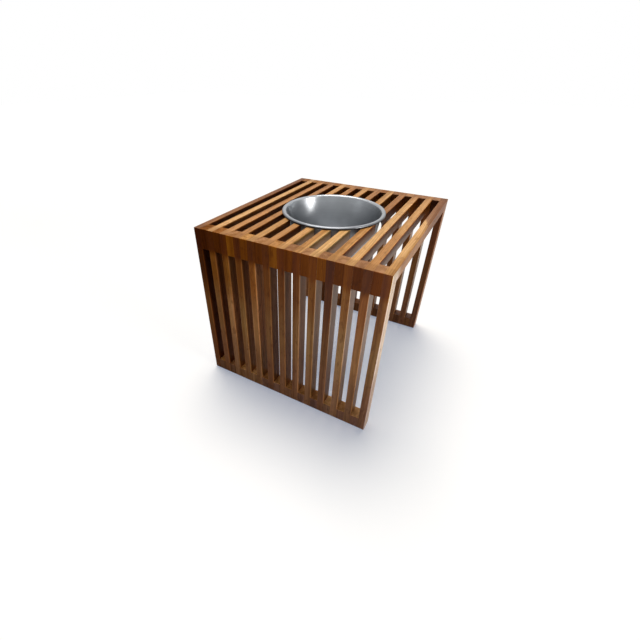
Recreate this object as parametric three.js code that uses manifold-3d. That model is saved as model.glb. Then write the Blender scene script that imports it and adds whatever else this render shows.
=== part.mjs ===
// Slatted waterfall coffee table with a round metal ice tub dropped into its top.
//
// Frame: millimetres, +Z up, X across the slats, Y along them, origin on the floor under the middle of the
// table. The near leg panel stands at -Y and the far one at +Y. The ends at -X and +X are open.
//
// Thirteen strips run over the top and down both leg panels. The tabletop strips are mitred to the leg
// strips, and spacer blocks fill the gaps at the two top edges and at the feet. The tub hangs by its rolled
// rim on the ends of the strips that the round hole cuts, and lifts straight out.

import * as THREE from 'three';
import { mergeVertices } from 'three/addons/utils/BufferGeometryUtils.js';
import Module from 'manifold-3d';

const wasm = await Module();
wasm.setup();

// Slats
const slatCount = 13;
const slatWidth = 24;
const topSlatDepth = 36;
const legSlatDepth = 44;
const arrisRadius = 2;
const arrisSteps = 2;
const widestArrisShare = 0.33;

// Table
const tableWidth = 636;
const tableLength = 708;
const tableHeight = 587;

// Spacer blocks, as high as they show on the face of a leg panel
const cornerBlockHeight = 67;
const footBlockHeight = 46;

// Glue line kept open between neighbouring pieces
const glueLine = 0.3;

// Tub, a spun sheet with a flat flange and a rolled edge
const flangeWidth = 14;
const curlRadius = 4;
const curlTurnShare = 0.6;
const throatBend = 5;
const tubSheet = 1.2;
const tubDepth = 165;
const wallDraft = 22;
const baseBend = 14;
const baseLedge = 30;
const basePanelRise = 3;
const basePanelBend = 4;
const tubSides = 60;
const curlSteps = 6;
const bendSteps = 3;
const rimSeatGap = 0.3;

// Round hole through the middle slats, how far it reaches past the outermost of them, and its clearance
// round the tub's neck
const cutSlatCount = 7;
const holeOverreach = 3.2;
const holeClearance = 3;
const holeSides = 96;

// How far a cutting shape runs past what it cuts, and how near two corners count as one
const overrun = 10;
const mergeTolerance = 1e-4;

// Worked out from the sizes above
const slatPitch = (tableWidth - slatWidth) / (slatCount - 1);
const halfLength = tableLength / 2;
const cutSlatsWidth = (cutSlatCount - 1) * slatPitch + slatWidth;
const holeRadius = cutSlatsWidth / 2 + holeOverreach;
const throatRadius = holeRadius - holeClearance - tubSheet;
const rimRadius = throatRadius + flangeWidth;
const tubBaseRadius = throatRadius - wallDraft;
const basePanelRadius = tubBaseRadius - baseLedge;

const walnutTones = ['#8a5a33', '#b57c42', '#a06c40', '#a8713c', '#b4763a', '#a2703f', '#b98246'];

// Solids for joining and cutting

function solidOf(geometry) {
  geometry.deleteAttribute('normal');
  geometry.deleteAttribute('uv');
  const merged = mergeVertices(geometry, mergeTolerance);
  const mesh = new wasm.Mesh({
    numProp: 3,
    vertProperties: new Float32Array(merged.attributes.position.array),
    triVerts: new Uint32Array(merged.index.array),
  });
  return new wasm.Manifold(mesh);
}

function geometryOf(solid) {
  const mesh = solid.getMesh();
  const geometry = new THREE.BufferGeometry();
  geometry.setAttribute('position', new THREE.BufferAttribute(new Float32Array(mesh.vertProperties), 3));
  geometry.setIndex(new THREE.BufferAttribute(new Uint32Array(mesh.triVerts), 1));
  const flat = geometry.toNonIndexed();
  flat.computeVertexNormals();
  return flat;
}

function box([x0, x1], [y0, y1], [z0, z1]) {
  const geometry = new THREE.BoxGeometry(Math.abs(x1 - x0), Math.abs(y1 - y0), Math.abs(z1 - z0));
  geometry.translate((x0 + x1) / 2, (y0 + y1) / 2, (z0 + z1) / 2);
  return solidOf(geometry);
}

function extruded(outline, depth) {
  return new THREE.ExtrudeGeometry(outline, { depth, bevelEnabled: false, curveSegments: arrisSteps });
}

// An outline drawn in X and Y, raised along Z
function prismAlongZ(outline, [z0, z1]) {
  const geometry = extruded(outline, z1 - z0);
  geometry.translate(0, 0, z0);
  return solidOf(geometry);
}

// An outline drawn in X and Z, run along Y
function prismAlongY(outline, [y0, y1]) {
  const geometry = extruded(outline, y1 - y0);
  geometry.rotateX(Math.PI / 2);
  geometry.translate(0, y1, 0);
  return solidOf(geometry);
}

// An outline drawn in Y and Z, run along X
function prismAlongX(outline, [x0, x1]) {
  const geometry = extruded(outline, x1 - x0);
  geometry.rotateX(Math.PI / 2);
  geometry.rotateZ(Math.PI / 2);
  geometry.translate(x0, 0, 0);
  return solidOf(geometry);
}

// A rectangle with eased corners
function easedRectangle([u0, u1], [v0, v1]) {
  const r = Math.min(arrisRadius, (u1 - u0) * widestArrisShare, (v1 - v0) * widestArrisShare);
  const outline = new THREE.Shape();
  outline.absarc(u1 - r, v0 + r, r, -Math.PI / 2, 0);
  outline.absarc(u1 - r, v1 - r, r, 0, Math.PI / 2);
  outline.absarc(u0 + r, v1 - r, r, Math.PI / 2, Math.PI);
  outline.absarc(u0 + r, v0 + r, r, Math.PI, 1.5 * Math.PI);
  return outline;
}

// What easing takes off a square corner at (u, v), whose material lies towards (inU, inV)
function arrisWaste(u, v, inU, inV) {
  const r = arrisRadius;
  const outline = new THREE.Shape();
  outline.moveTo(u - inU * overrun, v - inV * overrun);
  outline.lineTo(u + inU * r, v - inV * overrun);
  outline.lineTo(u + inU * r, v);
  for (let step = 1; step <= arrisSteps; step += 1) {
    const turn = (step / arrisSteps) * (Math.PI / 2);
    outline.lineTo(u + inU * r * (1 - Math.sin(turn)), v + inV * r * (1 - Math.cos(turn)));
  }
  outline.lineTo(u - inU * overrun, v + inV * r);
  return outline;
}

// Places along X

function slatX(index) {
  return (index - (slatCount - 1) / 2) * slatPitch;
}

function slatSpan(index) {
  return [slatX(index) - slatWidth / 2, slatX(index) + slatWidth / 2];
}

function neighbours(index) {
  return [index - 1, index + 1].filter((other) => other >= 0 && other < slatCount);
}

// The half of a slat that faces one neighbour, where the spacer blocks lie against it
function facingHalf(index, neighbour) {
  const [x0, x1] = slatSpan(index);
  return neighbour > index ? [slatX(index), x1] : [x0, slatX(index)];
}

// Everything above the mitre between tabletop and leg, on the near side (-1) or the far side (+1).
// A lift moves the cut face up, away from the leg.
function aboveMitre(side, lift) {
  const outer = new THREE.Vector2(side * halfLength, tableHeight);
  const inner = new THREE.Vector2(side * (halfLength - legSlatDepth), tableHeight - topSlatDepth);
  const along = inner.clone().sub(outer).normalize();
  const up = new THREE.Vector2(-along.y, along.x).multiplyScalar(-side);
  const reach = tableLength + tableHeight;
  const low = outer.clone().addScaledVector(up, lift);
  const corners = [
    low.clone().addScaledVector(along, -reach),
    low.clone().addScaledVector(along, reach),
    low.clone().addScaledVector(along, reach).addScaledVector(up, reach),
    low.clone().addScaledVector(along, -reach).addScaledVector(up, reach),
  ];
  return prismAlongX(new THREE.Shape(corners), [-tableWidth / 2 - overrun, tableWidth / 2 + overrun]);
}

// The eased edge at the top of a panel, across all its pieces
function topArris(side) {
  const span = [-tableWidth / 2 - overrun, tableWidth / 2 + overrun];
  return prismAlongX(arrisWaste(side * halfLength, tableHeight, -side, -1), span);
}

// The eased bottom edges of a panel: its outer and inner face and its two open ends
function footArrises(side) {
  const alongX = [-tableWidth / 2 - overrun, tableWidth / 2 + overrun];
  const alongY = [-halfLength - overrun, halfLength + overrun];
  return [
    prismAlongX(arrisWaste(side * halfLength, 0, -side, 1), alongX),
    prismAlongX(arrisWaste(side * (halfLength - legSlatDepth), 0, side, 1), alongX),
    prismAlongY(arrisWaste(-tableWidth / 2, 0, 1, 1), alongY),
    prismAlongY(arrisWaste(tableWidth / 2, 0, -1, 1), alongY),
  ];
}

// The two leg panels, with the tools that shape their corners and feet
const panels = [['near', -1], ['far', 1]].map(([name, side]) => ({
  name,
  side,
  topEdge: topArris(side),
  footEdges: footArrises(side),
  topSlatZone: aboveMitre(side, glueLine / 2),
  topSlatWaste: aboveMitre(side, -glueLine / 2),
}));

// Tabletop slats

function topSlatBar(index, [y0, y1]) {
  const heights = [tableHeight - topSlatDepth, tableHeight];
  let bar = prismAlongY(easedRectangle(slatSpan(index), heights), [y0, y1]);
  for (const neighbour of neighbours(index)) {
    for (const end of [-halfLength, halfLength]) {
      if (end >= y0 && end <= y1) {
        const zone = [end, end - Math.sign(end) * legSlatDepth].sort((a, b) => a - b);
        bar = bar.add(box(facingHalf(index, neighbour), zone, heights));
      }
    }
  }
  return bar;
}

function holeTool() {
  const height = topSlatDepth + 2 * overrun;
  const geometry = new THREE.CylinderGeometry(holeRadius, holeRadius, height, holeSides);
  geometry.rotateX(Math.PI / 2);
  geometry.translate(0, 0, tableHeight - topSlatDepth / 2);
  return solidOf(geometry);
}

function holeCutsThrough(index) {
  return Math.abs(index - (slatCount - 1) / 2) < cutSlatCount / 2;
}

function topSlats() {
  const hole = holeTool();
  const pieces = [];
  for (let index = 0; index < slatCount; index += 1) {
    const number = String(index + 1).padStart(2, '0');
    const runs = holeCutsThrough(index)
      ? [{ name: '_near', run: [-halfLength, 0] }, { name: '_far', run: [0, halfLength] }]
      : [{ name: '', run: [-halfLength, halfLength] }];
    for (const { name, run } of runs) {
      let solid = topSlatBar(index, run).subtract(hole);
      for (const { topSlatZone, topEdge } of panels) {
        solid = solid.intersect(topSlatZone).subtract(topEdge);
      }
      pieces.push({ name: `top_slat_${number}${name}`, solid, tone: index });
    }
  }
  return pieces;
}

// Leg slats, every second one with the spacer blocks of the gaps on both its sides

function legZones() {
  return [[0, footBlockHeight], [tableHeight - cornerBlockHeight, tableHeight]];
}

function legDepthSpan(side) {
  return [side * halfLength, side * (halfLength - legSlatDepth)].sort((a, b) => a - b);
}

function legSlatBar(index, { side, topSlatWaste }) {
  const depth = legDepthSpan(side);
  let bar = prismAlongZ(easedRectangle(slatSpan(index), depth), [0, tableHeight]);
  for (const neighbour of neighbours(index)) {
    for (const zone of legZones()) {
      bar = bar.add(box(facingHalf(index, neighbour), depth, zone));
    }
  }
  return bar.subtract(topSlatWaste);
}

function blockSpan(index, neighbour) {
  const [x0, x1] = slatSpan(index);
  const [n0, n1] = slatSpan(neighbour);
  return neighbour > index ? [x1 - arrisRadius, n0 - glueLine] : [n1 + glueLine, x0 + arrisRadius];
}

function withBlocks(bar, index, { side, topSlatWaste }) {
  const [x0, x1] = slatSpan(index);
  const depth = legDepthSpan(side);
  let unit = bar;
  for (const neighbour of neighbours(index)) {
    for (const zone of legZones()) {
      unit = unit.add(box(blockSpan(index, neighbour), depth, zone));
    }
  }
  const heights = [tableHeight - topSlatDepth - overrun, tableHeight + overrun];
  const topSlatEnd = box([x0 - glueLine, x1 + glueLine], depth, heights);
  return unit.subtract(topSlatEnd.intersect(topSlatWaste));
}

function legSlats() {
  const pieces = [];
  for (const panel of panels) {
    for (let index = 0; index < slatCount; index += 1) {
      const number = String(index + 1).padStart(2, '0');
      const carriesBlocks = index % 2 === 1;
      const bar = legSlatBar(index, panel);
      const unit = carriesBlocks ? withBlocks(bar, index, panel) : bar;
      const solid = [panel.topEdge, ...panel.footEdges].reduce((rest, tool) => rest.subtract(tool), unit);
      const nodeName = `${panel.name}_leg_slat_${number}${carriesBlocks ? '_and_blocks' : ''}`;
      pieces.push({ name: nodeName, solid, tone: index });
    }
  }
  return pieces;
}

// Tub

// A path through the given corners, each rounded to its own bend radius
function bentPath(corners) {
  const path = [];
  corners.forEach(({ point, bend }, index) => {
    const before = corners[index - 1];
    const after = corners[index + 1];
    if (!bend || !before || !after) {
      path.push(point.clone());
      return;
    }
    const back = before.point.clone().sub(point).normalize();
    const ahead = after.point.clone().sub(point).normalize();
    const halfAngle = Math.acos(back.dot(ahead)) / 2;
    const middle = back.clone().add(ahead).normalize();
    const centre = point.clone().addScaledVector(middle, bend / Math.sin(halfAngle));
    const start = point.clone().addScaledVector(back, bend / Math.tan(halfAngle));
    const turn = Math.PI - 2 * halfAngle;
    const direction = Math.sign(back.cross(ahead)) * -1;
    for (let step = 0; step <= bendSteps; step += 1) {
      path.push(start.clone().rotateAround(centre, (direction * turn * step) / bendSteps));
    }
  });
  return path;
}

// The middle of the sheet, from the axis out over the base, up the wall and round the rolled edge
function tubMiddleLine() {
  const half = tubSheet / 2;
  const flangeZ = tableHeight + rimSeatGap + 2 * curlRadius - half;
  const baseZ = tableHeight - tubDepth + half;
  const panelZ = baseZ + basePanelRise;
  const curlCentreX = rimRadius - curlRadius;
  const corner = (x, z, bend) => ({ point: new THREE.Vector2(x, z), bend });
  const path = bentPath([
    corner(0, panelZ, 0),
    corner(basePanelRadius, panelZ, basePanelBend),
    corner(basePanelRadius + basePanelRise, baseZ, basePanelBend),
    corner(tubBaseRadius, baseZ, baseBend),
    corner(throatRadius + half, flangeZ, throatBend),
    corner(curlCentreX, flangeZ, 0),
  ]);
  const centre = new THREE.Vector2(curlCentreX, flangeZ - curlRadius + half);
  const curlStart = new THREE.Vector2(curlCentreX, flangeZ);
  for (let step = 1; step <= curlSteps; step += 1) {
    const turn = (2 * Math.PI * curlTurnShare * step) / curlSteps;
    path.push(curlStart.clone().rotateAround(centre, -turn));
  }
  return path;
}

// The line moved sideways by a distance, along the mean of the two neighbouring normals
function offsetLine(line, distance) {
  return line.map((point, index) => {
    const isFirst = index === 0;
    const isLast = index === line.length - 1;
    const backNormal = isFirst ? normalOf(point, line[index + 1]) : normalOf(line[index - 1], point);
    const aheadNormal = isLast ? backNormal : normalOf(point, line[index + 1]);
    const mean = backNormal.clone().add(aheadNormal).normalize();
    return point.clone().addScaledVector(mean, distance / mean.dot(backNormal));
  });
}

function normalOf(from, to) {
  const run = to.clone().sub(from).normalize();
  return new THREE.Vector2(run.y, -run.x);
}

function tubGeometry() {
  const line = tubMiddleLine();
  const outside = offsetLine(line, tubSheet / 2);
  const inside = offsetLine(line, -tubSheet / 2).reverse();
  const geometry = new THREE.LatheGeometry([...outside, ...inside], tubSides);
  geometry.rotateX(Math.PI / 2);
  return geometryOf(solidOf(geometry));
}

// Assembly

function woodMaterial(tone) {
  const color = walnutTones[tone % walnutTones.length];
  return new THREE.MeshStandardMaterial({ color, roughness: 0.55, metalness: 0 });
}

const steelMaterial = new THREE.MeshStandardMaterial({ color: '#9ea2a3', roughness: 0.3, metalness: 1 });

function namedMesh(name, geometry, material) {
  const mesh = new THREE.Mesh(geometry, material);
  mesh.name = name;
  return mesh;
}

const table = new THREE.Group();

const tabletop = new THREE.Group();
for (const { name, solid, tone } of topSlats()) {
  tabletop.add(namedMesh(name, geometryOf(solid), woodMaterial(tone)));
}
table.add(tabletop);

const legPanels = new THREE.Group();
for (const { name, solid, tone } of legSlats()) {
  legPanels.add(namedMesh(name, geometryOf(solid), woodMaterial(tone)));
}
table.add(legPanels);

table.add(namedMesh('ice_tub', tubGeometry(), steelMaterial));

export default table;
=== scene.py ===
# %% [markdown]
# # A slatted waterfall table with a steel tub
#
# The table is thirteen strips of walnut that run over the top and down both ends, with short blocks glued
# between them at the corners and at the feet. A spun steel tub hangs by its rolled rim in a round hole.
# The construction comes as a fixed frame: every piece is already there at its real size. This file adds what
# the eye wants: the wood, the separate blocks with their seams, the steel, the light and the camera.

import math
import random

import bmesh
import bpy
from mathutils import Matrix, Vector


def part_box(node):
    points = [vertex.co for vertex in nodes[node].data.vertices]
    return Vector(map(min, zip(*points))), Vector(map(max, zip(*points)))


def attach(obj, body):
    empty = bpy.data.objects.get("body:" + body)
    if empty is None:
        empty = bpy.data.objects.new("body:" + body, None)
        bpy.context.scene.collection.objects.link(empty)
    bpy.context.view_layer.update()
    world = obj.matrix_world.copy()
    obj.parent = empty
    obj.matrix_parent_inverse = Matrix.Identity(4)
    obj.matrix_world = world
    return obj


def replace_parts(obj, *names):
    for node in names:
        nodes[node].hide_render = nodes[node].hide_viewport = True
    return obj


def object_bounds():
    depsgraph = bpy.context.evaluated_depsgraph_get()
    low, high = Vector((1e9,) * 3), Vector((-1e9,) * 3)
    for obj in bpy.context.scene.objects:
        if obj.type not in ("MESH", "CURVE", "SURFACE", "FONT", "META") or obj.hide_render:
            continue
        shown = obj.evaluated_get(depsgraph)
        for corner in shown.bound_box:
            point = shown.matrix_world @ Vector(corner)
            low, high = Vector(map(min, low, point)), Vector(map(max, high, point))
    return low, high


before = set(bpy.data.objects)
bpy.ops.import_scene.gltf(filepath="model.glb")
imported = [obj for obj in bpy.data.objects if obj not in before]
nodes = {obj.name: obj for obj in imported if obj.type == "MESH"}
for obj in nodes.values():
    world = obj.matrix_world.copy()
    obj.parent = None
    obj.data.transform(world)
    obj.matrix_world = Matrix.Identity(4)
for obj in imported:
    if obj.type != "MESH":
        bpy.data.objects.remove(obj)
cad_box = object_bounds()

# %% [markdown]
# ## Sizes
#
# A table like this is sawn from one stock of strips and blocks, so a handful of sizes describes it. They
# are read off the solids of the frame, and whatever is added later fits them to a hair. Only what is hidden
# inside a joined solid is written here: how tall the blocks at the corners and at the feet are, and how far
# the edges are eased.

# %% Sizes taken from the frame
def centre_of(node):
    low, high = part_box(node)
    return (low + high) / 2


strip_count = sum(node.startswith("near_leg_slat") for node in nodes)
leg_low, leg_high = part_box("near_leg_slat_01")
strip_width = leg_high.x - leg_low.x
leg_depth = leg_high.y - leg_low.y
strip_pitch = (centre_of("top_slat_13").x - centre_of("top_slat_01").x) / (strip_count - 1)
tabletop_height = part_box("top_slat_01")[1].z
top_depth = tabletop_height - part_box("top_slat_07_near")[0].z
half_width = cad_box[1][0]
half_length = cad_box[1][1]
corner_block = 0.067
foot_block = 0.046
arris = 0.002
print("strips:", round(1000 * strip_width), "by", round(1000 * leg_depth), "mm on the legs")
print("from strip to strip:", round(1000 * strip_pitch, 1), "mm")

# %% [markdown]
# ## The camera
#
# The photograph was taken with a wide lens from a little above, close to one corner. The camera's place was
# found by matching the table's corners and slats, so its numbers are a real place in metres. The small shift
# is there because the picture was cropped off centre, and it keeps the uprights leaning as they do there.

# %% Camera
camera_place = (0.4748, -1.1180, 0.9866)
camera_tilt = math.radians(53.93)
camera_turn = math.radians(30.11)
camera_sensor = 36
camera_lens = 19.61
camera_shift = (0.0467, 0.0048)


def link(piece):
    bpy.context.scene.collection.objects.link(piece)
    return piece


camera_data = bpy.data.cameras.new("camera")
camera_data.sensor_width = camera_sensor
camera_data.lens = camera_lens
camera_data.shift_x, camera_data.shift_y = camera_shift
camera = link(bpy.data.objects.new("camera", camera_data))
camera.location = camera_place
camera.rotation_euler = (camera_tilt, 0, camera_turn)
bpy.context.scene.camera = camera
print("camera height:", camera_place[2], "m")

# %% [markdown]
# ## Arithmetic for materials
#
# A material is a small calculation done for every point of a surface. Wired by hand it is hard to read, so
# one class wraps an output socket and lets Python's own signs add the Math nodes. Its `node` method adds any
# other kind of node: settings first, then the values or links of its sockets.


# %% The wire class
class Wire:
    """One output socket in a material's node tree, which can be calculated with."""

    def __init__(self, tree, socket=None):
        self.tree = tree
        self.socket = socket

    def node(self, kind, settings=None, inputs=None, output=0):
        made = self.tree.nodes.new(kind)
        for key, value in (settings or {}).items():
            setattr(made, key, value)
        for key, value in (inputs or {}).items():
            if isinstance(value, Wire):
                self.tree.links.new(value.socket, made.inputs[key])
            else:
                made.inputs[key].default_value = value
        return Wire(self.tree, made.outputs[output])

    def math(self, operation, *others):
        return self.node("ShaderNodeMath", {"operation": operation}, dict(enumerate((self, *others))))

    def __add__(self, other):
        return self.math("ADD", other)

    def __sub__(self, other):
        return self.math("SUBTRACT", other)

    def __mul__(self, other):
        return self.math("MULTIPLY", other)

    def __rsub__(self, other):
        return self * -1 + other

    __radd__ = __add__
    __rmul__ = __mul__

    def axes(self):
        """The three parts of a vector."""
        split = self.node("ShaderNodeSeparateXYZ", None, {0: self})
        return [Wire(self.tree, split.socket.node.outputs[axis]) for axis in range(3)]

    def rise(self, low, high):
        """0 below low, 1 above high, and a smooth rise between them."""
        settings = {"interpolation_type": "SMOOTHSTEP"}
        return self.node("ShaderNodeMapRange", settings, {0: self, 1: low, 2: high})

    def blend(self, first, second):
        """The colour first where this wire is 0, and second where it is 1."""
        return self.node("ShaderNodeMix", {"data_type": "RGBA"}, {0: self, 6: first, 7: second}, output=2)

    def tint(self, colour, red, green, blue):
        """The colour as it is where this wire is 0, and multiplied by the three numbers where it is 1."""
        settings = {"data_type": "RGBA", "blend_type": "MULTIPLY"}
        inputs = {0: self, 6: colour, 7: (red, green, blue, 1)}
        return self.node("ShaderNodeMix", settings, inputs, output=2)


def new_material(name):
    """An empty material, a wire to start its calculations from, and its surface shader."""
    material = bpy.data.materials.new(name)
    material.use_nodes = True
    return material, Wire(material.node_tree), material.node_tree.nodes["Principled BSDF"]


def plug(wire, shader, socket):
    wire.tree.links.new(wire.socket, shader.inputs[socket])


print("what a wire can do:", [name for name in vars(Wire) if not name.startswith("__")])

# %% [markdown]
# ## Walnut as a solid
#
# A picture of wood glued on a box gives itself away at the ends, where its lines stop. Real grain is a solid:
# each strip was sawn from a log whose yearly rings are thin shells round a pith. So the material works out
# how far a point lies from a pith somewhere beside the strip. Long faces then show lines, ends show arcs, and
# nothing has to be drawn. Every piece gets a pith of its own, as strips from different logs would.

# %% Tones of oiled walnut
tones = {
    # ivory is painted light: a painted reflection on the outer side of the last strip, and the painted light
    # on the sides between strips.
    "ivory": (0.950, 0.770, 0.610, 1),
    "oat": (0.540, 0.370, 0.260, 1),
    "apricot": (0.900, 0.450, 0.180, 1),
    "cream": (0.850, 0.500, 0.200, 1),
    "sapwood": (0.730, 0.410, 0.155, 1),
    "straw": (0.700, 0.370, 0.128, 1),
    "honey": (0.620, 0.320, 0.105, 1),
    "amber": (0.530, 0.250, 0.078, 1),
    "biscuit": (0.460, 0.228, 0.095, 1),
    "tan": (0.440, 0.195, 0.058, 1),
    "fawn": (0.360, 0.168, 0.068, 1),
    "nut": (0.350, 0.138, 0.034, 1),
    "russet": (0.280, 0.112, 0.030, 1),
    "brown": (0.240, 0.088, 0.019, 1),
    "coffee": (0.180, 0.062, 0.013, 1),
    "umber": (0.125, 0.038, 0.007, 1),
}
print(len(tones), "tones:", ", ".join(tones))

# %% Rings round a pith
ring_width = 0.0046
ring_wobble = 0.030
late_wood_from, late_wood_full = 0.35, 0.97
nearest_pith = 0.030
furthest_pith = 0.110
log_length = 9
chance = random.Random(11)


def along_grain(wire, centre, grain):
    """Object coordinates turned so that the grain runs along Z, measured from the strip's own pith."""
    turn = (math.pi / 2, 0, 0) if grain == "Y" else (0, 0, 0)
    middle = Vector((centre.x, -centre.z, centre.y)) if grain == "Y" else centre
    angle = chance.uniform(0, 2 * math.pi)
    reach = chance.uniform(nearest_pith, furthest_pith)
    pith = Vector((reach * math.cos(angle), reach * math.sin(angle), chance.uniform(0, log_length)))
    place = wire.node("ShaderNodeTexCoord", output="Object")
    sockets = {"Vector": place, "Location": pith - middle, "Rotation": turn}
    return place.node("ShaderNodeMapping", None, sockets)


def late_wood_of(place, drift):
    """The dark part of every yearly ring. The drift pulls the rings out of round."""
    x, y = place.axes()[:2]
    radius = (x * x + y * y).math("SQRT") + drift * ring_wobble
    return (radius * (1 / ring_width)).math("FRACT").rise(late_wood_from, late_wood_full)


print("a ring every", 1000 * ring_width, "mm")

# %% [markdown]
# ## The marks of the grain
#
# From close by, a strip's colour drifts over a hand's width, long streaks run down it, a mottle and a few
# dark patches lie across it, and fibres and open pores score it. Each of these marks is a noise, drawn out
# along the grain as far as the real one is. Each has a tint of its own by which it lightens or darkens the
# wood, so one mark can be judged and changed without touching the others.

# %% Noise drawn out along the grain
# Waves a metre across the grain and along it, layers of detail, and where the noise starts and ends to rise.
noises = {
    "drift": (9, 2.4, 2.0, 0.30, 0.70),
    "fibre": (420, 7, 2.0, 0.35, 0.65),
    "pore": (1500, 45, 2.0, 0.60, 0.74),
    "mottle": (34, 21, 2.0, 0.36, 0.66),
    "dark streak": (62, 1.3, 4.0, 0.37, 0.63),
    "dark patch": (75, 32, 3.0, 0.57, 0.70),
}
# How strong each mark is, and what it multiplies red, green and blue by where it is strongest.
mark_tints = {
    "light streak": (1.00, (1.16, 1.20, 1.32)),
    "dark streak": (1.00, (0.82, 0.76, 0.64)),
    "drift": (1.00, (1.01, 0.96, 0.90)),
    "mottle": (0.50, (0.80, 0.76, 0.70)),
    "dark patch": (0.60, (0.55, 0.46, 0.38)),
    "late wood": (0.40, (0.52, 0.45, 0.38)),
    "fibre": (0.25, (0.60, 0.55, 0.50)),
    "pore": (0.45, (0.32, 0.28, 0.27)),
    # Eased edges are painted paler: partly wear, partly a painted highlight.
    "eased edge": (0.60, (1.40, 1.45, 1.60)),
}


def long_noise(place, across, along, detail):
    drawn_out = place.node("ShaderNodeMapping", None, {"Vector": place, "Scale": (across, across, along)})
    return place.node("ShaderNodeTexNoise", None, {"Vector": drawn_out, "Scale": 1.0, "Detail": detail})


finest = max(across for across, *rest in noises.values())
print(len(mark_tints), "marks, the finest with", finest, "waves a metre")

# %% [markdown]
# ## Where one tone ends and the next begins
#
# A strip seldom has one colour from end to end. A plane through the table parts it: a direction, how far
# along that direction the plane lies, and how softly the one side turns into the other. Planes are cheap,
# they need no drawing, and they run through all the strips at one height, as a glued corner does.

# %% Planes
right, back, front = (1, 0, 0), (0, 1, 0), (0, -1, 0)
up, down = (0, 0, 1), (0, 0, -1)
outer_face = (right, half_width - 0.0015, 0.0005)
everywhere = (up, -1, 0.001)
corner = (up, tabletop_height - corner_block - 0.008, 0.016)
head = (up, 0.38, 0.07)
foot = (down, -0.20, 0.07)


def past(wire, plane):
    """0 before a plane through the table and 1 past it."""
    direction, start, softness = plane
    place = wire.node("ShaderNodeTexCoord", output="Object")
    dot_product = {"operation": "DOT_PRODUCT"}
    distance = place.node("ShaderNodeVectorMath", dot_product, {0: place, 1: direction}, output=1)
    return distance.rise(start - softness, start + softness)


def slanted(steepness, direction, start, softness):
    """A plane that cuts the outer face of the last strip at start, and the rest of that strip further on."""
    y, z = direction[1:]
    return (steepness, y, z), steepness * half_width + start, softness


print("the corner starts", round(1000 * corner[1]), "mm up, the head", round(1000 * head[1]), "mm up")

# %% [markdown]
# ## Oiled walnut, piece by piece
#
# Over a glued corner and on the sides between the strips the wood is darkened with painted shade. Eased
# edges are painted paler, partly as wear and partly as a painted highlight. So the material asks which way a
# face looks, by its normal, and treats sawn ends, broad faces, the sides between two strips and the eased
# edges each in their own way. The pores are dull and a little deep, and the oil between them shines more or
# less.

# %% Faces
end_looks = (0.80, 0.95)
side_looks = (0.50, 0.90)
flat_looks = (0.93, 0.985)


def faces_of(wire, grain):
    """Masks of the end grain, of the sides that look across the strips, and of the eased edges."""
    facing = wire.node("ShaderNodeTexCoord", output="Normal").axes()
    across, lengthwise, upright = [part.math("ABSOLUTE") for part in facing]
    end = (upright if grain == "Z" else lengthwise).rise(*end_looks)
    side = across.rise(*side_looks)
    eased = 1 - across.math("MAXIMUM", lengthwise).math("MAXIMUM", upright).rise(*flat_looks)
    return end, side, eased


def gap_walls(wire, wood, side, sides, pale, pale_past):
    """The colour, tinted by sides between two strips, and painted lighter towards ivory past all the planes
    of pale_past, as painted light.
    """
    between_strips = side * (1 - past(wire, outer_face))
    wood = between_strips.tint(wood, *sides)
    # Painted light: the sides between the strips turn paler towards ivory.
    painted_light = between_strips * pale
    for plane in pale_past:
        painted_light = painted_light * past(wire, plane)
    return painted_light.blend(wood, tones["ivory"])


print("an end looks along the grain to within", round(math.degrees(math.acos(end_looks[1]))), "degrees")

# %% The wood material
oil_roughness = 0.43
pore_roughness = 0.18
late_wood_roughness = 0.05
end_roughness = 0.12
late_wood_relief = 0.35
fibre_relief = 0.3
relief_strength = 0.30
relief_depth = 0.0003


def walnut(
    name, tone, grain, centre, end_tone=None, changes=(), shades=(),
    sides=None, pale=0, pale_past=(), shine=0.1,
):
    """Oiled walnut for one piece.

    end_tone is the tone of the end grain. Each change is a plane and the tone past it, and each shade is a
    plane and three numbers by which the broad faces are multiplied past it, most of them painted shade.
    sides, pale and pale_past paint shade and light on the sides between two strips, and shine is how much of
    the oil still shines.
    """
    material, wire, shader = new_material(name)
    place = along_grain(wire, centre, grain)
    end, side, eased = faces_of(wire, grain)
    raw, marks = {}, {}
    for mark, (across, along, detail, low, high) in noises.items():
        raw[mark] = long_noise(place, across, along, detail)
        marks[mark] = raw[mark].rise(low, high)
    marks["light streak"] = 1 - marks["dark streak"]
    marks["late wood"] = late_wood_of(place, raw["drift"])
    marks["eased edge"] = eased

    wood = tones[tone]
    for plane, second in changes:
        wood = past(wire, plane).blend(wood, tones[second])
    wood = end.blend(wood, tones[end_tone or tone])
    for mark, (strength, factors) in mark_tints.items():
        wood = (marks[mark] * strength).tint(wood, *factors)
    if sides:
        wood = gap_walls(wire, wood, side, sides, pale, pale_past)
    broad = (1 - end) * (1 - side)
    for plane, factors in shades:
        wood = (broad * past(wire, plane)).tint(wood, *factors)
    plug(wood, shader, "Base Color")

    dull = marks["pore"] * pore_roughness + marks["late wood"] * late_wood_roughness + end * end_roughness
    plug(dull + oil_roughness, shader, "Roughness")
    relief = marks["late wood"] * late_wood_relief - marks["pore"] - raw["fibre"] * fibre_relief
    sockets = {"Strength": relief_strength, "Distance": relief_depth, "Height": relief}
    plug(relief.node("ShaderNodeBump", None, sockets), shader, "Normal")
    shader.inputs["Specular IOR Level"].default_value = shine
    return material


print("relief of the grain:", 1000 * relief_depth, "mm")
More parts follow.
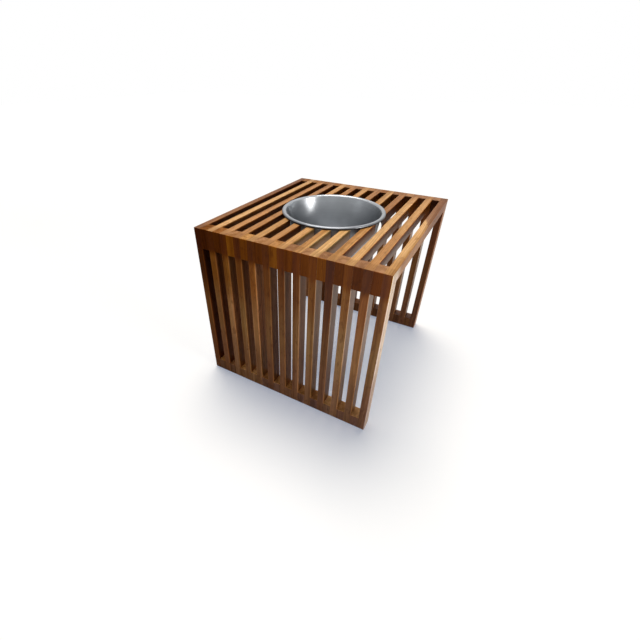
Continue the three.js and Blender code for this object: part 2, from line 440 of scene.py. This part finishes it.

# %% [markdown]
# ## Which strip has which tone
#
# Nobody sorts the strips of such a table: light sapwood lies beside dark heartwood, and that stripe is half
# of its charm. The tones are read off the photograph from left to right. A strip on a leg is another length
# of wood than the one above it, so the lists differ. Some strips change along their length, where the saw
# crossed from sapwood into heartwood. The outer side of the last strip is painted ivory, a painted reflection
# of the bright window beside it, and darker lower down.

# %% Tones of the strips
strip_tones = {
    "top": "russet sapwood amber amber sapwood amber straw honey cream honey sapwood honey sapwood",
    "top_far": "russet sapwood amber tan honey amber honey tan honey tan sapwood honey sapwood",
    "near": "nut tan apricot honey apricot tan tan amber honey nut straw apricot honey",
    "far": "nut amber nut brown amber nut nut brown amber nut amber tan nut",
}
# Darker tones over the corners of the near legs: painted shade.
near_corner_shaded_tones = "umber coffee brown brown russet russet nut nut tan coffee tan russet nut"
near_head_tones = {1: "coffee", 2: "amber", 3: "honey", 4: "amber", 8: "tan", 10: "brown"}
near_foot_tones = {3: "honey", 5: "honey", 7: "amber", 10: "tan", 12: "honey", 13: "amber"}
tone_changes = {
    "top_slat_01": [((back, 0.16, 0.14), "brown")],
    "top_slat_02": [((front, 0.31, 0.03), "honey")],
    "top_slat_08_near": [((right, 0.057, 0.002), "cream")],
    "top_slat_11": [((back, 0.26, 0.08), "tan")],
    "top_slat_12": [((front, 0.09, 0.015), "amber"), ((back, 0.27, 0.05), "amber")],
    "top_slat_13": [
        ((front, 0.25, 0.04), "honey"),
        (slanted(3, back, 0.014, 0.012), "fawn"),
        (outer_face, "biscuit"),
        (slanted(9, back, 0.0065, 0.12), "brown"),
        # Painted reflection: the outer side near the mitre turns ivory.
        (slanted(90, front, 0.30, 0.03), "ivory"),
    ],
    "near_leg_slat_13": [
        # Painted reflection: the outer side of the last leg strip is ivory, and darker lower down.
        (outer_face, "ivory"),
        (slanted(90, down, -0.26, 0.07), "oat"),
    ],
}


def strip_number(node):
    return int(node.split("slat_")[1][:2])


def tone_of(node):
    row = "top_far" if node.startswith("top") and node.endswith("far") else node.split("_")[0]
    return strip_tones[row].split()[strip_number(node) - 1]


print("strips with more than one tone:", len(tone_changes) + len(near_head_tones | near_foot_tones))

# %% [markdown]
# ## Oil, painted light and painted shade along a strip
#
# The table stands with its left end in its own shade and its right end to a window, and its finish follows,
# partly as painted light and shade: from left to right the oil shines more, the sides between the strips turn
# from painted shade to their own colour, and those of the last strips are painted lighter but for their feet,
# as painted light. Over the glued corners and at the heads the wood is darkened with painted shade. On top,
# the walls of the right gaps are painted pale on their lower half near the front, where light from the floor
# reaches them, and all the others are darkened with painted shade.

# %% Finishes from left to right
# Pairs of numbers by which the wood is multiplied: at the left end of the table, and at the right end.
# Painted shade over the glued corners, deepest at the left end.
corner_shades = {
    "near": ((1.20, 1.00, 0.04), (1.04, 0.86, 0.06)),
    "far": ((0.80, 0.70, 0.50), (0.80, 0.70, 0.50)),
}
# Painted shade at the heads of the leg strips.
head_shades = ((0.78, 0.55, 0.17), (0.84, 0.62, 0.42))
foot_shade = (0.88, 0.80, 1.02)
# Painted shade on the sides between the leg strips: dark at the left end, none at the right.
leg_side_shading = ((0.36, 0.22, 0.14), (1.00, 1.00, 1.00))
leg_sides_growth = 1.6
leg_pale_delay = 0.7
# Painted light on the sides of the last leg strips, above their feet.
painted_light_above = (up, 0.25, 0.12)
left_shine, added_shine, shine_power = 0.02, 0.28, 1.5


def share_of(number, last):
    """How far a strip or gap lies along the table, from 0 at the left to 1 at the right."""
    return (number - 1) / (last - 1)


def between(pair, share):
    """Three factors on the way from the first of a pair to the second."""
    return tuple(low + (high - low) * share for low, high in zip(*pair))


def limited(share):
    return min(1.0, max(0.0, share))


def shine_at(share):
    return left_shine + added_shine * share ** shine_power


print("shine of the oil, left and right:", shine_at(0), round(shine_at(1), 2))


# %% Finish of a leg strip
def leg_finish(node):
    panel = node.split("_")[0]
    number = strip_number(node)
    share = share_of(number, strip_count)
    changes = []
    if panel == "near":
        if number in near_head_tones:
            changes.append((head, near_head_tones[number]))
        if number in near_foot_tones:
            changes.append((foot, near_foot_tones[number]))
        changes.append((corner, near_corner_shaded_tones.split()[number - 1]))
    return {
        "changes": changes + tone_changes.get(node, []),
        "shades": [
            (corner, between(corner_shades[panel], share)),
            (head, between(head_shades, share)),
            (foot, foot_shade),
        ],
        "sides": between(leg_side_shading, limited(leg_sides_growth * share)),
        "pale": limited(leg_sides_growth * share - leg_pale_delay),
        "pale_past": [painted_light_above],
        "shine": shine_at(share),
    }


print("sides of the first leg strip are multiplied by", leg_finish("near_leg_slat_01")["sides"])

# %% Finish of a tabletop strip
top_corners = [(front, 0.318, 0.006), (back, 0.318, 0.006)]
top_corner_shade = (0.80, 0.78, 0.76)
top_shine = 0.09
# Walls between the top strips: darkened with painted shade, and painted paler past pale_walls_past as light
# from the floor, most on the grey and warm walls.
shaded_walls = {"sides": (0.32, 0.21, 0.10), "pale": 0.08}
grey_walls = {"sides": (0.75, 0.90, 1.00), "pale": 0.85}
warm_walls = {"sides": (0.55, 0.33, 0.08), "pale": 0.63}
first_grey_wall = 7
first_warm_wall = 10
pale_walls_past = [(down, -0.573, 0.010), (front, 0.02, 0.14)]


def walls_of(node):
    number = strip_number(node)
    if number < first_grey_wall or node.endswith("far"):
        return shaded_walls
    return grey_walls if number < first_warm_wall else warm_walls


def top_finish(node):
    return {
        "changes": tone_changes.get(node, []),
        "shades": [(plane, top_corner_shade) for plane in top_corners],
        "pale_past": pale_walls_past,
        "shine": top_shine,
        **walls_of(node),
    }


print("how pale the walls of slat 7 are:", walls_of("top_slat_07_near")["pale"])

# %% Strips kept from the frame
kept = [node for node in sorted(nodes) if "slat" in node and "blocks" not in node]
for node in kept:
    on_top = node.startswith("top")
    finish = top_finish(node) if on_top else leg_finish(node)
    wood = walnut(node, tone_of(node), "Y" if on_top else "Z", centre_of(node), **finish)
    nodes[node].data.materials.clear()
    nodes[node].data.materials.append(wood)
print("strips kept from the frame:", len(kept))

# %% [markdown]
# ## Strips and blocks with real seams
#
# In the frame, every second leg strip is one solid with the blocks glued to it. On the table they are five
# separate lengths of wood, and the seam between two pieces is where the grain and the tone jump. So each of
# those solids is replaced by one strip and four blocks. A strip is a box that a few planes saw to shape: the
# mitre at the top and the eased edges. A block is the same with less sawing.

# %% Sawing
arris_cuts = 3
block_arris = 0.0004
block_arris_cuts = 2
hair = 0.00006


def block_of_wood(low, high):
    bm = bmesh.new()
    bmesh.ops.create_cube(bm, size=1)
    bmesh.ops.scale(bm, vec=Vector(high) - Vector(low), verts=bm.verts)
    bmesh.ops.translate(bm, vec=(Vector(low) + Vector(high)) / 2, verts=bm.verts)
    return bm


def everything_in(bm):
    return bm.verts[:] + bm.edges[:] + bm.faces[:]


def saw_off(bm, point, outward):
    """Saws off what lies outside a plane, and closes the cut."""
    cut = bmesh.ops.bisect_plane(
        bm, geom=everything_in(bm), plane_co=point, plane_no=outward, clear_outer=True
    )
    rim = [part for part in cut["geom_cut"] if isinstance(part, bmesh.types.BMEdge)]
    bmesh.ops.edgenet_fill(bm, edges=rim)


def ease_corner(bm, corner_point, first, second):
    """Rounds the straight edge through a point, between two faces that look along first and second."""
    centre = Vector(corner_point) - arris * (Vector(first) + Vector(second))
    for cut in range(arris_cuts):
        turn = (cut + 1) / (arris_cuts + 1) * math.pi / 2
        outward = Vector(first) * math.cos(turn) + Vector(second) * math.sin(turn)
        saw_off(bm, centre + arris * outward, outward)


def ease_top(bm, side):
    """Eases the outer top edge of a piece of a leg panel."""
    ease_corner(bm, (0, side * half_length, tabletop_height), (0, side, 0), up)


def ease_feet(bm, side):
    """Eases the outer and the inner bottom edge of a piece of a leg panel."""
    ease_corner(bm, (0, side * half_length, 0), (0, side, 0), down)
    ease_corner(bm, (0, side * (half_length - leg_depth), 0), (0, -side, 0), down)


print("an edge is eased by", 1000 * arris, "mm in", arris_cuts, "cuts")


# %% Finishing a piece
def finished(bm, name, material):
    bmesh.ops.recalc_face_normals(bm, faces=bm.faces)
    mesh = bpy.data.meshes.new(name)
    bm.to_mesh(mesh)
    bm.free()
    mesh.materials.append(material)
    piece = link(bpy.data.objects.new(name, mesh))
    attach(piece, "table")
    return piece


def strip_x(number):
    return (number - (strip_count + 1) / 2) * strip_pitch


def leg_span(side):
    return sorted((side * half_length, side * (half_length - leg_depth)))


print("strips stand from x", round(strip_x(1), 3), "to", round(strip_x(strip_count), 3))


# %% Leg strips
def long_edges(bm, low, high):
    """The upright edges between two heights."""
    def within(vert):
        return low - arris < vert.co.z < high + arris

    def upright(edge):
        return (edge.verts[0].co - edge.verts[1].co).xy.length < hair

    return [edge for edge in bm.edges if upright(edge) and all(within(vert) for vert in edge.verts)]


def leg_strip(panel, side, number):
    """A strip whose edges are eased where it stands free, between the blocks, and mitred at the top."""
    x, (y0, y1) = strip_x(number), leg_span(side)
    block_ends_at = (foot_block, tabletop_height - corner_block)
    bm = block_of_wood((x - strip_width / 2, y0, 0), (x + strip_width / 2, y1, tabletop_height))
    for height in block_ends_at:
        bmesh.ops.bisect_plane(bm, geom=everything_in(bm), plane_co=(0, 0, height), plane_no=up)
    free = long_edges(bm, *block_ends_at)
    bmesh.ops.bevel(
        bm, geom=free, offset=arris, segments=arris_cuts, profile=0.5, affect="EDGES", material=-1
    )
    mitre = Vector((0, -side * top_depth, leg_depth)).normalized()
    saw_off(bm, Vector((0, side * half_length, tabletop_height)) - mitre * hair, mitre)
    ease_top(bm, side)
    ease_feet(bm, side)
    node = f"{panel}_leg_slat_{number:02d}_and_blocks"
    name = f"{panel}_leg_strip_{number:02d}"
    centre = Vector((x, (y0 + y1) / 2, tabletop_height / 2))
    wood = walnut(name, tone_of(node), "Z", centre, **leg_finish(node))
    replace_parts(finished(bm, name, wood), node)


print("the mitre rises by", round(math.degrees(math.atan2(top_depth, leg_depth))), "degrees")

# %% [markdown]
# ## Tones of the blocks
#
# The blocks are offcuts, so their tones follow nothing: dark and light lie side by side. At the corners they
# are darkened with painted shade and shine the least. At the feet their fronts are a little greyer, and the
# sawn ends that look up between the near strips are mostly paler than the fronts.

# %% Tones and finish of the blocks
block_tones = {
    ("near", "corner"): "umber coffee amber tan brown amber nut nut amber russet brown nut",
    ("near", "foot"): "fawn fawn amber honey biscuit biscuit amber biscuit fawn honey amber amber",
    ("far", "corner"): "brown nut brown umber nut brown nut umber nut brown nut umber",
    ("far", "foot"): "nut brown umber brown nut umber brown nut brown umber brown nut",
}
block_ends = {
    ("near", "corner"): "brown nut biscuit honey biscuit amber fawn biscuit fawn biscuit fawn biscuit",
    ("near", "foot"): "amber fawn honey sapwood amber honey honey honey amber cream honey sapwood",
    ("far", "corner"): "fawn biscuit fawn nut biscuit fawn biscuit nut fawn biscuit fawn fawn",
    ("far", "foot"): "umber brown umber umber brown umber brown umber umber brown umber umber",
}
# Painted shade on the fronts of the corner blocks; the fronts of the near feet are made greyer.
block_shades = {
    ("near", "corner"): ((1.05, 0.72, 0.10), (0.90, 0.56, 0.15)),
    ("near", "foot"): ((0.93, 0.95, 1.15), (0.82, 0.74, 1.20)),
    ("far", "corner"): ((0.90, 0.80, 0.60), (0.90, 0.80, 0.60)),
}
block_shine = {"corner": 0.55, "foot": 1}


def block_finish(panel, gap, row):
    share = share_of(gap, strip_count - 1)
    shades = []
    if (panel, row) in block_shades:
        shades.append((everywhere, between(block_shades[panel, row], share)))
    return {"shades": shades, "shine": block_shine[row] * shine_at(share)}


print("kinds of block:", [" ".join(kind) for kind in block_tones])


# %% Blocks
def spacer_block(panel, side, gap, row):
    """The block in the gap to the right of the strip of that number."""
    x0 = strip_x(gap) + strip_width / 2 + hair
    x1 = strip_x(gap + 1) - strip_width / 2 - hair
    z0, z1 = (0, foot_block) if row == "foot" else (tabletop_height - corner_block, tabletop_height)
    y0, y1 = leg_span(side)
    bm = block_of_wood((x0, y0, z0), (x1, y1, z1))
    bmesh.ops.bevel(
        bm, geom=bm.edges[:], offset=block_arris, segments=block_arris_cuts, profile=0.5,
        affect="EDGES", material=-1,
    )
    if row == "foot":
        ease_feet(bm, side)
    else:
        ease_top(bm, side)
    name = f"{panel}_{row}_block_{gap:02d}"
    centre = Vector(((x0 + x1) / 2, (y0 + y1) / 2, (z0 + z1) / 2))
    tone = block_tones[panel, row].split()[gap - 1]
    end_tone = block_ends[panel, row].split()[gap - 1]
    wood = walnut(name, tone, "Z", centre, end_tone, **block_finish(panel, gap, row))
    return finished(bm, name, wood)


print("a block is", round(1000 * (strip_pitch - strip_width), 1), "mm wide")

# %% Building both leg panels
for panel, side in (("near", -1), ("far", 1)):
    for number in range(2, strip_count, 2):
        leg_strip(panel, side, number)
        for gap in (number - 1, number):
            for row in ("corner", "foot"):
                spacer_block(panel, side, gap, row)

# %% [markdown]
# ## The steel tub
#
# A tub like this is spun: a disc turns on a lathe and is pressed over a form, which leaves fine circles all
# round it. The solid in the frame has flat facets, so it is replaced by a fine one with the same profile.
# The middle of the sheet is drawn as a line, its corners are rounded, it is spun once round the axis, and a
# Solidify modifier gives the sheet its thickness on both sides of that line.

# %% Tub sizes
tub_low, tub_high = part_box("ice_tub")
sheet = 0.0012
rim_radius = tub_high.y
flange_width = 0.014
curl_radius = 0.004
curl_turn = math.radians(216)
throat_bend = 0.005
wall_draft = 0.022
base_bend = 0.014
base_ledge = 0.030
base_rise = 0.003
panel_bend = 0.004
tub_steps = 160
curl_steps = 14
bend_steps = 6
throat_radius = rim_radius - flange_width
base_radius = throat_radius - wall_draft
panel_radius = base_radius - base_ledge
flange_height = tub_high.z - sheet / 2
base_height = tub_low.z + sheet / 2
print("tub:", round(2000 * rim_radius), "mm across,", round(1000 * (tub_high.z - tub_low.z)), "mm high")


# %% Profile of the tub
def bend_offset(before, corner_point, after, bend):
    """How far from a corner its bend starts."""
    turn = (Vector(corner_point) - Vector(before)).angle(Vector(after) - Vector(corner_point))
    return bend * math.tan(turn / 2)


def tub_profile(bm):
    """The middle of the sheet in the XZ plane, from the axis to the end of the rolled edge."""
    corners = [
        (0, base_height + base_rise),
        (panel_radius, base_height + base_rise),
        (panel_radius + base_rise, base_height),
        (base_radius, base_height),
        (throat_radius + sheet / 2, flange_height),
        (rim_radius - curl_radius, flange_height),
    ]
    bends = [0, panel_bend, panel_bend, base_bend, throat_bend, 0]
    verts = [bm.verts.new((radius, 0, height)) for radius, height in corners]
    for first, second in zip(verts, verts[1:]):
        bm.edges.new((first, second))
    curl_centre = (rim_radius - curl_radius, 0, flange_height - curl_radius + sheet / 2)
    bmesh.ops.spin(bm, geom=[verts[-1]], cent=curl_centre, axis=(0, 1, 0), angle=curl_turn, steps=curl_steps)
    for place, bend in enumerate(bends):
        if bend:
            offset = bend_offset(*corners[place - 1:place + 2], bend)
            bmesh.ops.bevel(
                bm, geom=[verts[place]], offset=offset, segments=bend_steps, profile=0.5,
                affect="VERTICES", material=-1,
            )


wall_height = flange_height - base_height
print("the wall leans", round(1000 * wall_draft), "mm inwards over", round(1000 * wall_height), "mm")


# %% Spinning the tub
def spun_tub():
    bm = bmesh.new()
    tub_profile(bm)
    line = bm.verts[:] + bm.edges[:]
    bmesh.ops.spin(
        bm, geom=line, cent=(0, 0, 0), axis=up, angle=2 * math.pi, steps=tub_steps, use_merge=True
    )
    bmesh.ops.remove_doubles(bm, verts=bm.verts, dist=hair)
    bmesh.ops.recalc_face_normals(bm, faces=bm.faces)
    for face in bm.faces:
        face.smooth = True
    mesh = bpy.data.meshes.new("ice_tub_shell")
    bm.to_mesh(mesh)
    bm.free()
    shell = link(bpy.data.objects.new("ice_tub_shell", mesh))
    wall = shell.modifiers.new("sheet", "SOLIDIFY")
    wall.thickness = sheet
    wall.offset = 0
    wall.use_even_offset = True
    return shell


tub = spun_tub()
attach(tub, "tub")
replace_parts(tub, "ice_tub")
print("tub faces:", len(tub.data.polygons))

# %% [markdown]
# ## Spun steel
#
# The lathe leaves circles, so a fine noise runs over the distance from the axis and the height alone, and it
# stays the same all round. It moves the roughness, the colour and the relief together. A broad cloud adds the
# blur of dried water. The outside, which nobody polishes, is duller, and its colour is darkened as painted
# shade for where it lies between the slats. The rolled edge is darkened with painted shade, and a painted
# shade under it draws the thin dark line between the rim and the wood.

# %% Values of the steel
circles_a_metre, circle_layers = 1100, 2.0
clouds_a_metre, cloud_layers = 11, 3.0
steel_tones = ((0.330, 0.345, 0.360, 1), (0.400, 0.415, 0.435, 1))
circle_tint = (0.84, 0.84, 0.85)
circle_strength = 0.5
# Painted shade on the last millimetres of the rolled edge, which also dims its highlight.
edge_shade_tint = (0.50, 0.50, 0.51)
# Partly painted shade: the outside is darker for where it lies in the shade between the slats; its duller
# roughness is its own finish.
outside_shade_tint = (0.64, 0.63, 0.62)
# Painted shade under the rolled rim, on the faces that look down or sideways: the dark line above the wood.
under_rim_shade_tint = (0.18, 0.17, 0.17)
under_rim_shade_strength = 0.92
steel_roughness = 0.24
circle_roughness = 0.14
water_roughness = 0.06
outside_roughness = 0.18
circle_relief = {"Strength": 0.12, "Distance": 0.0002}
brushing, brushing_turn = 0.5, 0.25
# Where each mask starts to rise, and where it is full.
wall_ends = (throat_radius + 0.004, throat_radius + 0.007)
edge_starts = (rim_radius - 0.006, rim_radius - 0.002)
looks_outwards = (0.00, 0.05)
looks_upwards = (-0.15, 0.75)
circle_noise = (0.35, 0.65)
cloud_noise = (0.30, 0.70)
water_noise = (0.52, 0.64)
print("the rolled edge darkens over its last", round(1000 * (rim_radius - edge_starts[0])), "mm")


# %% The steel material
def spun_steel():
    material, wire, shader = new_material("spun_steel")
    place = wire.node("ShaderNodeTexCoord", output="Object")
    x, y, z = place.axes()
    radius = (x * x + y * y).math("SQRT")
    along_profile = {0: radius * circles_a_metre, 1: z * circles_a_metre, 2: 0.0}
    profile = place.node("ShaderNodeCombineXYZ", None, along_profile)
    circle_sockets = {"Vector": profile, "Scale": 1.0, "Detail": circle_layers}
    cloud_sockets = {"Vector": place, "Scale": clouds_a_metre, "Detail": cloud_layers}
    circles = place.node("ShaderNodeTexNoise", None, circle_sockets)
    cloud = place.node("ShaderNodeTexNoise", None, cloud_sockets)
    water_marks = cloud.rise(*water_noise)

    facing_x, facing_y, facing_z = wire.node("ShaderNodeTexCoord", output="Normal").axes()
    past_the_wall = radius.rise(*wall_ends)
    # The outside of the wall, which gets the duller roughness and the painted shade.
    outside = (x * facing_x + y * facing_y).rise(*looks_outwards) * (1 - past_the_wall)
    # Painted shade: the faces of the rim past the wall that look down or sideways.
    under_rim_shade = (1 - facing_z.rise(*looks_upwards)) * past_the_wall

    steel = cloud.rise(*cloud_noise).blend(*steel_tones)
    steel = (circles.rise(*circle_noise) * circle_strength).tint(steel, *circle_tint)
    # Painted shade on the rolled edge.
    steel = radius.rise(*edge_starts).tint(steel, *edge_shade_tint)
    steel = outside.tint(steel, *outside_shade_tint)
    steel = (under_rim_shade * under_rim_shade_strength).tint(steel, *under_rim_shade_tint)
    plug(steel, shader, "Base Color")

    dull = circles * circle_roughness + water_marks * water_roughness + outside * outside_roughness
    plug(dull + steel_roughness, shader, "Roughness")
    plug(circles.node("ShaderNodeBump", None, {**circle_relief, "Height": circles}), shader, "Normal")
    shader.inputs["Metallic"].default_value = 1
    shader.inputs["Anisotropic"].default_value = brushing
    shader.inputs["Anisotropic Rotation"].default_value = brushing_turn
    return material


tub.data.materials.append(spun_steel())
print("materials:", len(bpy.data.materials))

# %% [markdown]
# ## The floor
#
# The table stands on a pale floor that fades into a white background. Its shade is a soft blue-grey, and a
# white floor in warm light wouldn't give that. So the floor glows faintly in blue and reflects only the rest:
# in full light the two add up to white, and in the table's shade the blue remains. What it throws back on the
# wood is less than a white floor would, as the darker ground under the real table does.


# %% Floor material
floor_half = 15
floor_glow = (0.17, 0.22, 0.31)
floor_bounce = (0.27, 0.28, 0.31)


def seen(wire):
    """1 where the camera sees a surface, straight, mirrored or through glass, and 0 where it only lights."""
    path = wire.node("ShaderNodeLightPath").socket.node
    ways = [Wire(wire.tree, path.outputs[f"Is {kind} Ray"]) for kind in ("Camera", "Glossy", "Transmission")]
    return ways[0].math("MAXIMUM", ways[1]).math("MAXIMUM", ways[2])


def floor_material():
    material, wire, shader = new_material("pale_floor")
    reflected = [1 - glow for glow in floor_glow]
    colour = seen(wire).blend((*floor_bounce, 1), (*reflected, 1))
    glow = seen(wire).blend((0, 0, 0, 1), (*floor_glow, 1))
    plug(colour, shader, "Base Color")
    plug(glow, shader, "Emission Color")
    shader.inputs["Emission Strength"].default_value = 1
    shader.inputs["Roughness"].default_value = 1
    shader.inputs["Specular IOR Level"].default_value = 0
    return material


print("the floor glows", floor_glow, "and reflects", [round(1 - glow, 2) for glow in floor_glow])

# %% Floor
floor_bm = bmesh.new()
bmesh.ops.create_grid(floor_bm, x_segments=1, y_segments=1, size=floor_half)
floor_mesh = bpy.data.meshes.new("floor")
floor_bm.to_mesh(floor_mesh)
floor_bm.free()
floor_mesh.materials.append(floor_material())
floor = link(bpy.data.objects.new("floor", floor_mesh))
print("floor:", 2 * floor_half, "m wide")

# %% [markdown]
# ## Light and background
#
# Two lights are enough. A skylight above and a little behind the table makes the top glow and leaves the
# near panel in its own shade. A low window to the right lights the outer side of the last strip and the
# inner sides of the legs. Both are suns, because a sun gives the same light everywhere, and both fill a wide
# part of the sky, so that shadows are soft. The background is white to the eye and in reflections, and
# lights little.


# %% Lights
def sun(name, towards, strength, spread, colour):
    """A sun that shines from the direction towards, and fills that many degrees of the sky."""
    lamp = bpy.data.lights.new(name, "SUN")
    lamp.energy = strength
    lamp.angle = math.radians(spread)
    lamp.color = colour
    light = link(bpy.data.objects.new(name, lamp))
    light.rotation_euler = Vector(towards).to_track_quat("Z", "Y").to_euler()


sun("skylight", (-0.20, 0.26, 1.0), 2.85, 36, (1.0, 0.99, 0.97))
sun("side_window", (1.0, -0.08, 0.10), 1.9, 18, (1.0, 0.98, 0.95))
print("lights:", [light.name for light in bpy.data.lights])

# %% Background
ambient = 0.12
world = bpy.data.worlds.new("studio")
world.use_nodes = True
bpy.context.scene.world = world
background = world.node_tree.nodes["Background"]
strength = seen(Wire(world.node_tree)) * (1 - ambient) + ambient
world.node_tree.links.new(strength.socket, background.inputs["Strength"])
background.inputs["Color"].default_value = (1, 1, 1, 1)
bpy.context.scene.view_settings.view_transform = "Standard"
print("share of the background that lights the table:", ambient)
